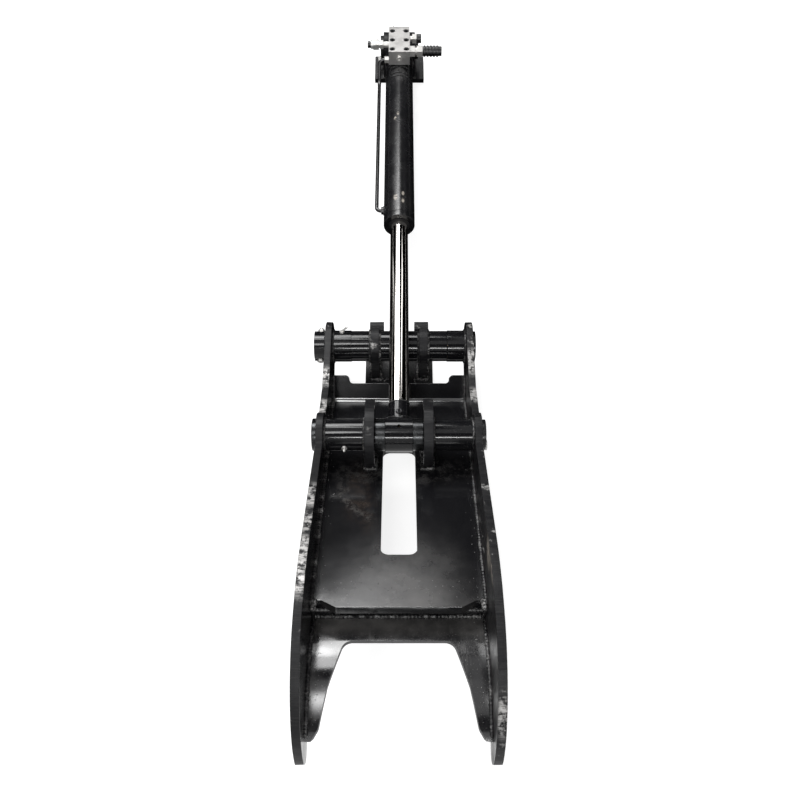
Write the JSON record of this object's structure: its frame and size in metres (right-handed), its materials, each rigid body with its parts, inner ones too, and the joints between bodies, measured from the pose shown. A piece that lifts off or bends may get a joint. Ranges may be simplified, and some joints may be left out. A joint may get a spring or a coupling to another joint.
{
  "type": "excavator thumb",
  "caption": "Hydraulic thumb for an excavator: two curved plate tines on a hinge bracket, swung by a cylinder with its valve block, tube and base bracket.",
  "frame": {"origin": "centre of the pivot bracket's weld face, under the pivot pin", "axes": "+X along the pins to the camera's right, +Y from the tines towards the cylinder's base, +Z away from the stick's face"},
  "size_m": [0.5084, 2.6463, 0.5471],
  "materials": {
    "black_paint": "semi-gloss black paint, dusty and worn",
    "bracket_paint": "satin black paint",
    "oiled_steel": "turned steel, oiled and darkened",
    "rod_chrome": "polished hard chrome",
    "zinc_steel": "bright zinc plate",
    "block_metal": "machined, bright",
    "black_screw": "blackened steel",
    "bush_bronze": "plain bronze",
    "seal_rubber": "nitrile rubber",
    "cap_plastic": "moulded cap"
  },
  "bodies": {
    "pivot_bracket": {"pivot_base_plate": "bracket_paint", "pivot_ear_left": "bracket_paint", "pivot_ear_right": "bracket_paint", "pivot_tube": "bracket_paint", "pivot_bush_left": "bush_bronze", "pivot_bush_right": "bush_bronze"},
    "thumb": {"side_plate_left": "black_paint", "side_plate_right": "black_paint", "web_plate": "black_paint", "toe_plate": "black_paint", "cross_plate": "black_paint", "lug_left": "black_paint", "lug_right": "black_paint", "pivot_boss_left": "black_paint", "pivot_boss_right": "black_paint", "pin_tube_left": "black_paint", "pin_tube_right": "black_paint", "spacer_left": "oiled_steel", "spacer_right": "oiled_steel", "pivot_pin": "oiled_steel", "pivot_pin_collar": "black_paint", "pivot_keeper_bolt": "zinc_steel", "pivot_keeper_nut": "zinc_steel", "rod_pin": "oiled_steel", "rod_pin_flag": "black_paint", "rod_pin_bolt": "zinc_steel", "thumb_nipples": "zinc_steel"},
    "rod": {"rod": "rod_chrome", "rod_eye": "black_paint", "rod_eye_bush": "bush_bronze", "rod_eye_nipple": "zinc_steel", "piston": "oiled_steel", "piston_seal": "seal_rubber", "piston_nut": "oiled_steel"},
    "barrel": {"barrel": "black_paint", "rod_port_boss": "black_paint", "base_end": "black_paint", "base_eye_bush": "bush_bronze", "gland": "black_paint", "rod_wiper": "seal_rubber", "rod_seal": "seal_rubber", "valve_pad": "black_paint", "valve_block": "block_metal", "valve_screws": "black_screw", "valve_plug": "zinc_steel", "bleed_fitting": "zinc_steel", "left_adapter": "zinc_steel", "left_cap": "cap_plastic", "right_adapter": "zinc_steel", "right_coupling": "cap_plastic", "second_adapter": "zinc_steel", "second_cap": "cap_plastic", "transfer_tube": "black_paint", "transfer_tube_nut": "zinc_steel"},
    "base_bracket": {"base_plate": "bracket_paint", "base_ear_left": "bracket_paint", "base_ear_right": "bracket_paint", "base_pin": "oiled_steel", "base_pin_flag": "bracket_paint", "base_pin_bolt": "zinc_steel"}
  },
  "joints": [
    {"name": "thumb_swing", "type": "hinge", "parent": "pivot_bracket", "child": "thumb", "pos_m": [0, 0, 0.125], "axis": [1, 0, 0], "range_deg": [-123.98, 0]},
    {"name": "rod_eye_turn", "type": "hinge", "parent": "thumb", "child": "rod", "pos_m": [0, -0.36647, 0.25722], "axis": [1, 0, 0], "range_deg": [0, 115.93]},
    {"name": "cylinder_stroke", "type": "slide", "parent": "rod", "child": "barrel", "axis": [0, 0.9967, -0.0813], "range_m": [-0.66, 0]},
    {"name": "base_pin_turn", "type": "hinge", "parent": "barrel", "child": "base_bracket", "pos_m": [0, 1.37774, 0.115], "axis": [1, 0, 0], "range_deg": [0, 8.06]}
  ],
  "couplings": [
    {"joint": "rod_eye_turn", "follows": "thumb_swing", "ratio": -0.93503},
    {"joint": "cylinder_stroke", "follows": "thumb_swing", "m_per_rad": 0.305},
    {"joint": "base_pin_turn", "follows": "thumb_swing", "ratio": -0.064974}
  ]
}
